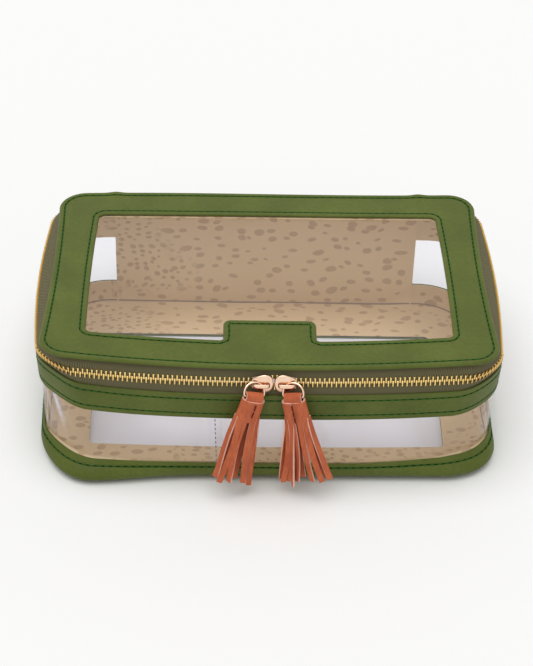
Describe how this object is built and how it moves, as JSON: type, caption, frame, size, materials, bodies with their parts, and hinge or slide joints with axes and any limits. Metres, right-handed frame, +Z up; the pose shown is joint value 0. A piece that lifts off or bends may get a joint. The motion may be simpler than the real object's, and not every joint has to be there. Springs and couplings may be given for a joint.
{
  "type": "game tile bag",
  "caption": "Soft zipped case for game tiles: clear windows in the lid, walls and floor, printed lining, a lid that folds at the back and tasselled zip pulls.",
  "frame": {"origin": "on the table plane, under the middle of the case's base (width and depth of the base)", "axes": "+Z up, +X to the right along the case's width, -Y out of the front where the zip pulls hang"},
  "size_m": [0.265, 0.1879, 0.082],
  "materials": {
    "cover": "fine pebble grain, semi-matte, coated",
    "lining": "matt woven print of open spots",
    "clear_sheet": "clear flexible vinyl",
    "board": "plain stiffener board, hidden",
    "zip_tape": "woven zip tape",
    "zip_teeth": "polished",
    "pull_metal": "rose gold plate, polished",
    "tassel_leather": "smooth, with pale cut edges",
    "tassel_thread": "waxed thread"
  },
  "bodies": {
    "case": {"bottom_frame": "cover", "lower_band": "cover", "upper_band": "cover", "back_panel": "cover", "bottom_lining": "lining", "lower_band_lining": "lining", "upper_band_lining": "lining", "back_lining": "lining", "bottom_window": "clear_sheet", "clear_band_left": "clear_sheet", "clear_band_right": "clear_sheet", "clear_band_seam_strip": "clear_sheet", "bottom_stiffener": "board", "back_stiffener": "board", "zipper_tape_lower": "zip_tape", "zipper_teeth_lower": "zip_teeth", "zipper_stops_lower": "zip_teeth"},
    "lid": {"lid_frame": "cover", "lid_stiffener": "board", "lid_window": "clear_sheet", "lid_lining": "lining", "hinge_flap": "cover", "hinge_flap_lining": "lining", "zipper_tape_upper": "zip_tape", "zipper_teeth_upper": "zip_teeth", "zipper_stops_upper": "zip_teeth"},
    "left_slider": {"slider_left": "pull_metal"},
    "left_ring": {"pull_ring_left": "pull_metal"},
    "left_tassel": {"tassel_strap_left": "tassel_leather", "tassel_fringe_left": "tassel_leather", "tassel_stitch_left": "tassel_thread"},
    "right_slider": {"slider_right": "pull_metal"},
    "right_ring": {"pull_ring_right": "pull_metal"},
    "right_tassel": {"tassel_strap_right": "tassel_leather", "tassel_fringe_right": "tassel_leather", "tassel_stitch_right": "tassel_thread"}
  },
  "joints": [
    {"name": "lid_fold", "type": "hinge", "parent": "case", "child": "lid", "pos_m": [0, 0.086, 0.0723], "axis": [-1, 0, 0], "range_deg": [0, 170]},
    {"name": "left_slider_run", "type": "hinge", "parent": "case", "child": "left_slider", "pos_m": [0, 1.15207, 0.0723], "axis": [0, 0, -1], "range_deg": [0, 4.22], "deforming": ["zipper_teeth_lower", "zipper_teeth_upper"]},
    {"name": "right_slider_run", "type": "hinge", "parent": "case", "child": "right_slider", "pos_m": [0, 1.15207, 0.0723], "axis": [0, 0, 1], "range_deg": [0, 4.03], "deforming": ["zipper_teeth_lower", "zipper_teeth_upper"]},
    {"name": "left_ring_lift", "type": "hinge", "parent": "left_slider", "child": "left_ring", "pos_m": [-0.00521, -0.09065, 0.0734], "axis": [-0.7544, 0.1131, 0.6466], "range_deg": [0, 65]},
    {"name": "left_tassel_swing", "type": "hinge", "parent": "left_ring", "child": "left_tassel", "pos_m": [-0.00854, -0.09483, 0.06865], "axis": [-0.9512, -0.2362, 0.1984], "range_deg": [0, 90]},
    {"name": "right_ring_lift", "type": "hinge", "parent": "right_slider", "child": "right_ring", "pos_m": [0.00922, -0.09063, 0.0734], "axis": [-0.7927, -0.1079, -0.6], "range_deg": [0, 65]},
    {"name": "right_tassel_swing", "type": "hinge", "parent": "right_ring", "child": "right_tassel", "pos_m": [0.01223, -0.09483, 0.06846], "axis": [-0.9598, 0.2428, -0.141], "range_deg": [0, 90]}
  ]
}
